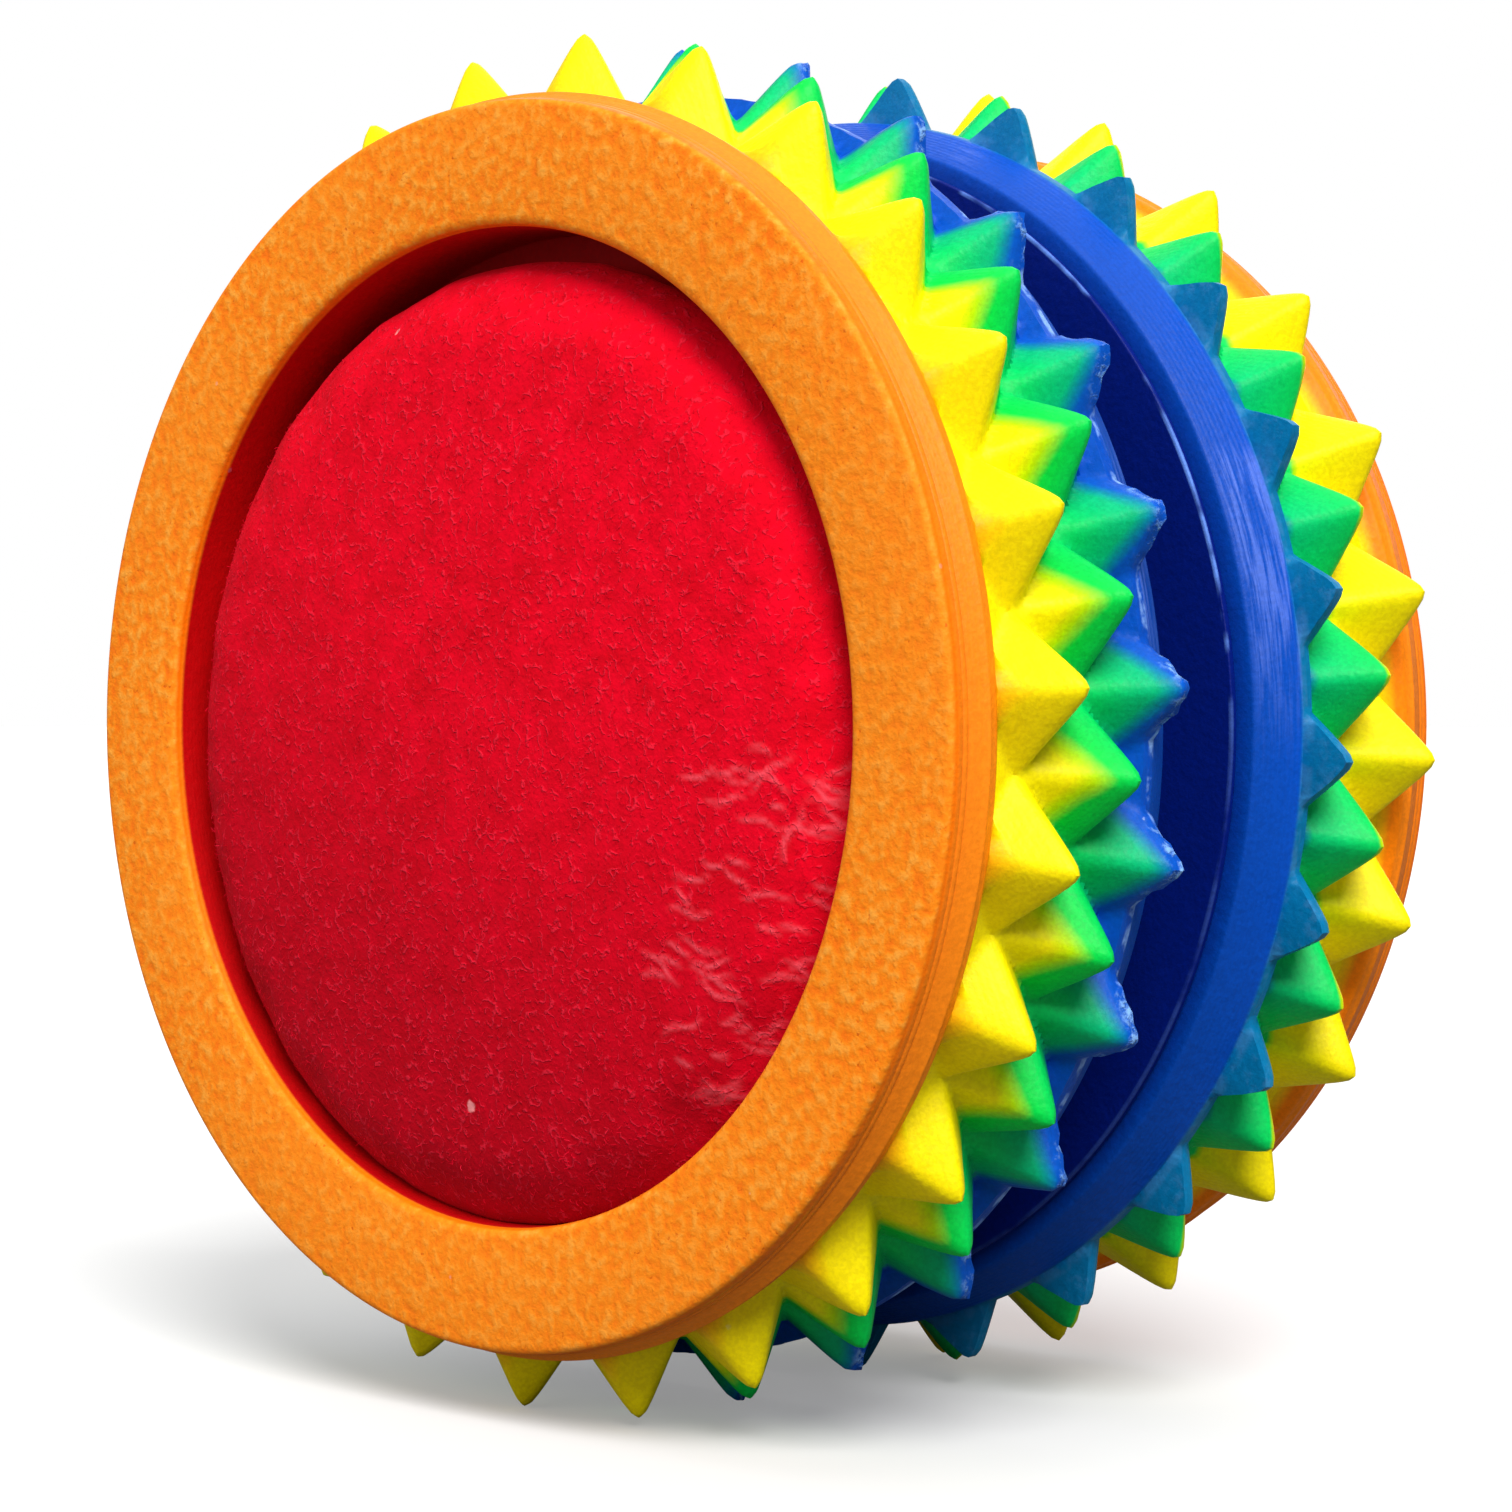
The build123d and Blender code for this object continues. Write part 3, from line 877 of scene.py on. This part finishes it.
def blowUp(piece):
    # Cloth pressure on a remeshed copy, then the swollen shape goes back to the piece.
    unit = padSettings["unit"]
    piece.data.transform(Matrix.Scale(unit, 4))
    remesh = piece.modifiers.new("remesh", "REMESH")
    remesh.mode = "VOXEL"
    remesh.voxel_size = padSettings["voxel"] * mm * unit
    bakedMesh(piece, piece.name)
    rest = [vertex.co.copy() for vertex in piece.data.vertices]
    edge = (halfWidth - padSettings["shoulderDrop"] - padSettings["softDepth"]) * mm * unit
    held = piece.vertex_groups.new(name="held")
    held.add([i for i, spot in enumerate(rest) if spot.y < edge], 1.0, "REPLACE")
    cloth = piece.modifiers.new("cloth", "CLOTH")
    cloth.settings.quality = 5
    cloth.settings.mass = 0.3
    cloth.settings.use_pressure = True
    cloth.settings.uniform_pressure_force = padSettings["pressure"]
    cloth.settings.effector_weights.gravity = 0
    cloth.settings.vertex_group_mass = "held"
    cloth.settings.shrink_min = -0.015
    cloth.point_cache.frame_start = 1
    cloth.point_cache.frame_end = 20
    for step in range(1, 21):
        bpy.context.scene.frame_set(step)
    bakedMesh(piece, piece.name)
    bpy.context.scene.frame_set(1)
    cap = padSettings["cap"] * mm * unit
    for vertex, before in zip(piece.data.vertices, rest):
        moved = vertex.co - before
        if moved.length > cap:
            vertex.co = before + moved.normalized() * cap
    piece.data.transform(Matrix.Scale(1 / unit, 4))


creaseSettings = {
    "outermost": 20.4,          # radius, in millimetres
    "inwards": 7.0,             # creases thin out over this distance towards the middle
    "lean": (-4, 20),           # degrees: mean and spread
    "halfLength": (0.4, 1.4),
    "rise": (0.018, 0.038),
    "crest": 0.1,
    "width": 0.15,
    "trough": (0.34, 0.2),      # how far off it lies, and its width
    "waver": 0.13,
    "front": (4, -24, 24, 56),  # seed, middle and half width of the patch in degrees, and how many
    "rear": (9, 120, 30, 24),
}


def creases(seed, centreAngle, spread, count):
    # Short raised creases near the edge: (x, z, direction, half length, height), in millimetres.
    settings = creaseSettings
    draw = random.Random(seed)
    lines = []
    for _ in range(count):
        angle = math.radians(centreAngle + draw.uniform(-spread, spread))
        radius = settings["outermost"] - settings["inwards"] * draw.random() ** 1.5
        lines.append((radius * math.cos(angle), radius * math.sin(angle),
                      math.radians(draw.gauss(*settings["lean"])),
                      draw.uniform(*settings["halfLength"]), draw.uniform(*settings["rise"])))
    return lines


def creaseHeight(x, z, lines):
    # Height of the creases at a point, and how near it is to a crest.
    troughAt, troughWidth = creaseSettings["trough"]
    height = crest = 0.0
    for centreX, centreZ, direction, length, rise in lines:
        acrossX, acrossZ = x - centreX, z - centreZ
        along = acrossX * math.cos(direction) + acrossZ * math.sin(direction)
        if abs(along) > length:
            continue
        off = -acrossX * math.sin(direction) + acrossZ * math.cos(direction)
        off += creaseSettings["waver"] * math.sin(along * 3.0 + centreX)
        if abs(off) < 0.8:
            fade = math.cos(along / length * math.pi / 2)
            crest = max(crest, math.exp(-(off / creaseSettings["crest"]) ** 2) * fade)
            height += rise * math.exp(-(off / creaseSettings["width"]) ** 2) * fade
            height -= 0.5 * rise * math.exp(-((abs(off) - troughAt) / troughWidth) ** 2)
    return height, crest


def padTop(spot):
    # 1 on the dome, 0 on the side and the back
    return min(max((spot.y / mm - (halfWidth - padSettings["softDepth"])) / 0.8, 0.0), 1.0)


def buildPads():
    shape = newObject("dome", turnedMesh("dome", domeOutline(0.0, padSettings["startCrown"]), 96))
    blowUp(shape)
    relax = shape.modifiers.new("relax", "SMOOTH")
    relax.factor = 0.5
    relax.iterations = 8
    smooth = shape.modifiers.new("smooth", "SUBSURF")
    smooth.levels = smooth.render_levels = 2
    bakedMesh(shape, "domeSmooth")
    top = max(vertex.co.y for vertex in shape.data.vertices) / mm
    print("pad crown", round(top, 2), "mm, wanted", round(padCrown, 2))
    base = halfWidth - padSettings["softDepth"]
    gain = (padCrown - base) / (top - base)
    marks = {side: creases(*creaseSettings[side]) for side in ("front", "rear")}
    for side, way in (("front", -1), ("rear", 1)):
        pad = newObject(side + "_pad_fleece", shape.data.copy())
        folds = []
        for vertex in pad.data.vertices:
            spot = vertex.co
            if spot.y / mm > base:
                spot.y = (base + (spot.y / mm - base) * gain) * mm
            soft = padTop(spot)
            x, z = spot.x / mm, spot.z / mm
            lump = noise.noise(Vector((x * 0.16, z * 0.16, 3.0 * way))) * 0.07
            lump += noise.noise(Vector((x * 0.5, z * 0.5, 7.0 * way))) * 0.02
            fine, crest = creaseHeight(x, z, marks[side])
            folds.append(crest * soft)
            spot.y += soft * (lump + fine - 0.1) * mm
            if spot.z > 0:
                spot.z *= 1 - padSettings["topGap"] / padRadius
            spot.z += padCentreZ * mm
            reach = math.hypot(spot.x, spot.z)
            if reach > padSettings["wallRadius"] * mm:
                spot.x *= padSettings["wallRadius"] * mm / reach
                spot.z *= padSettings["wallRadius"] * mm / reach
            spot.y *= way
        pad.data.attributes.new("crease", "FLOAT", "POINT").data.foreach_set("value", folds)
        if way < 0:
            pad.data.flip_normals()
        pad.data.shade_smooth()
        pad.data.materials.clear()
        pad.data.materials.append(redFleece)
        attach(pad, side + "_wheel")
        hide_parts(side + "_pad_cover")
        growNap(pad, side)
        buildFoam(side, way)
        print(side, "pad", len(pad.data.polygons), "faces")
    bpy.data.objects.remove(shape)


foamSettings = {
    "underCloth": 0.7 + 0.15,   # the cloth and a small gap
    "roughDepth": 1.9,
    "lumpSize": 2.2,
    "lumpHeight": 0.08,
}


def buildFoam(side, way):
    inset = foamSettings["underCloth"] + padSettings["swell"]
    outline = [(radius, way * along) for radius, along in domeOutline(inset, 1.0, boardEnd)]
    foam = newObject(side + "_foam_dome", turnedMesh(side + "Foam", outline, 96))
    for vertex in foam.data.vertices:
        spot = vertex.co
        if abs(spot.y) / mm > halfWidth - foamSettings["roughDepth"]:
            lump = noise.noise(spot / (foamSettings["lumpSize"] * mm)) - 0.6
            spot.y += way * mm * foamSettings["lumpHeight"] * lump
        spot.z += padCentreZ * mm
    foam.data.materials.append(foamSurface)
    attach(foam, side + "_wheel")
    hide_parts(side + "_pad_foam")


def napTree():
    # Short curved fibres, strewn over the dome and lying nearly flat.
    tree, maker, given, result = newGroup(
        "nap", "GeometryNodeTree",
        [("Geometry", "NodeSocketGeometry", None), ("Material", "NodeSocketMaterial", None),
         ("Per square metre", "NodeSocketFloat", 1e6), ("Length", "NodeSocketFloat", 0.0005),
         ("Thickness", "NodeSocketFloat", 0.00002), ("Seed", "NodeSocketInt", 1),
         ("Edge", "NodeSocketFloat", 0.0)],
        [("Geometry", "NodeSocketGeometry")])
    place = maker.node("GeometryNodeInputPosition").outputs[0]
    along = maker.maths("ABSOLUTE", maker.node("ShaderNodeSeparateXYZ", None, Vector=place).outputs[1])
    onDome = maker.maths("GREATER_THAN", along, given["Edge"])
    points = maker.node("GeometryNodeDistributePointsOnFaces", None, Mesh=given["Geometry"], Selection=onDome,
                        Density=given["Per square metre"], Seed=given["Seed"])

    def part(share):
        return maker.times(given["Length"], share)

    bend = maker.node("ShaderNodeCombineXYZ", None, X=part(0.3), Y=0.0, Z=part(0.5))
    end = maker.node("ShaderNodeCombineXYZ", None, X=part(0.85), Y=part(0.25), Z=part(0.4))
    line = maker.node("GeometryNodeCurveQuadraticBezier", None, Resolution=2, Middle=bend.outputs[0],
                      End=end.outputs[0])
    line.inputs["Start"].default_value = (0, 0, 0)
    ring = maker.node("GeometryNodeCurvePrimitiveCircle", None, Resolution=3, Radius=given["Thickness"])
    fibre = maker.node("GeometryNodeCurveToMesh", None, Curve=line.outputs[0], Fill_Caps=True)
    maker.put(fibre.inputs["Profile Curve"], ring.outputs[0])
    spin = maker.node("FunctionNodeRandomValue", {"data_type": "FLOAT_VECTOR"}, Seed=given["Seed"])
    spin.inputs[0].default_value = (-0.5, -0.5, 0.0)
    spin.inputs[1].default_value = (0.5, 0.5, 2 * math.pi)
    turn = maker.node("FunctionNodeRotateRotation", {"rotation_space": "LOCAL"})
    maker.put(turn.inputs["Rotation"], points.outputs["Rotation"])
    maker.put(turn.inputs["Rotate By"], spin.outputs[0])
    size = maker.node("FunctionNodeRandomValue", {"data_type": "FLOAT"}, Seed=given["Seed"])
    size.inputs[2].default_value = 0.5
    size.inputs[3].default_value = 1.3
    strewn = maker.node("GeometryNodeInstanceOnPoints", None, Points=points.outputs["Points"],
                        Instance=fibre.outputs[0], Rotation=turn.outputs[0], Scale=size.outputs[1])
    endTree(maker, result, strewn.outputs[0], given["Material"])
    return tree


def growNap(pad, side):
    nap = newObject(side + "_fleece_nap", pad.data.copy())
    setInputs(nap, napMaker, {
        "Material": napSurface, "Per square metre": padSettings["napPerSquareMetre"],
        "Length": padSettings["napLength"] * mm, "Thickness": padSettings["napRadius"] * mm,
        "Seed": 5 if side == "front" else 6, "Edge": (halfWidth - padSettings["napDepth"]) * mm})
    bakedMesh(nap, side + "Nap")
    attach(nap, side + "_wheel")
    print(side, "nap", len(nap.data.polygons), "faces")


foamSurface = foamMaterial()
napSurface = napFibre()
napMaker = napTree()
buildPads()


cameraSettings = {
    "place": (124.78, -127.94, 1.42),
    "forward": (-0.6952, 0.7186, -0.0157),
    "fieldOfView": 21.896,
}
lightSettings = [               # name, direction it comes from, strength, width in degrees, colour
    ("keyLight", (0.80, -0.52, 0.92), 3.8, 30.0, (1.0, 0.99, 0.97)),
    ("topLight", (-0.05, 0.15, 1.0), 1.0, 60.0, (1.0, 1.0, 1.0)),
    ("frontFill", (-0.25, -1.0, 0.35), 0.95, 70.0, (1.0, 1.0, 1.0)),
    ("backFill", (-0.5, 1.0, 0.5), 0.9, 50.0, (1.0, 1.0, 1.0)),
]
skySettings = {"seen": 1.0, "lit": 0.22}


def buildFloor():
    size = floorSettings["halfSize"]
    corners = [(-size, -size), (size, -size), (size, size), (-size, size)]
    mesh = bpy.data.meshes.new("floor")
    mesh.from_pydata([(x, y, floorZ) for x, y in corners], [], [(0, 1, 2, 3)])
    mesh.materials.append(floorMaterial())
    newObject("floor", mesh)


def buildLights():
    for name, source, strength, width, colour in lightSettings:
        lamp = bpy.data.lights.new(name, "SUN")
        lamp.energy = strength
        lamp.angle = math.radians(width)
        lamp.color = colour
        light = bpy.data.objects.new(name, lamp)
        light.rotation_euler = Vector(source).to_track_quat("Z", "Y").to_euler()
        bpy.context.scene.collection.objects.link(light)
    world = bpy.data.worlds.new("studio")
    world.use_nodes = True
    maker = Maker(world.node_tree)
    seen = maker.node("ShaderNodeLightPath").outputs["Is Camera Ray"]
    strength = maker.maths("MULTIPLY_ADD", seen, skySettings["seen"] - skySettings["lit"], skySettings["lit"])
    sky = world.node_tree.nodes["Background"]
    sky.inputs["Color"].default_value = (1, 1, 1, 1)
    maker.put(sky.inputs["Strength"], strength)
    bpy.context.scene.world = world
    bpy.context.scene.view_settings.view_transform = "Standard"


def buildCamera():
    lens = bpy.data.cameras.new("camera")
    lens.sensor_width = 36.0
    lens.angle = math.radians(cameraSettings["fieldOfView"])
    lens.clip_start = 0.005
    camera = bpy.data.objects.new("camera", lens)
    camera.location = Vector(cameraSettings["place"]) * mm
    forward = Vector(cameraSettings["forward"]).normalized()
    right = forward.cross(Vector((0, 0, 1))).normalized()
    up = right.cross(forward)
    camera.rotation_euler = Matrix((right, up, -forward)).transposed().to_euler()
    bpy.context.scene.collection.objects.link(camera)
    bpy.context.scene.camera = camera


buildFloor()
buildLights()
buildCamera()
print("stage done")
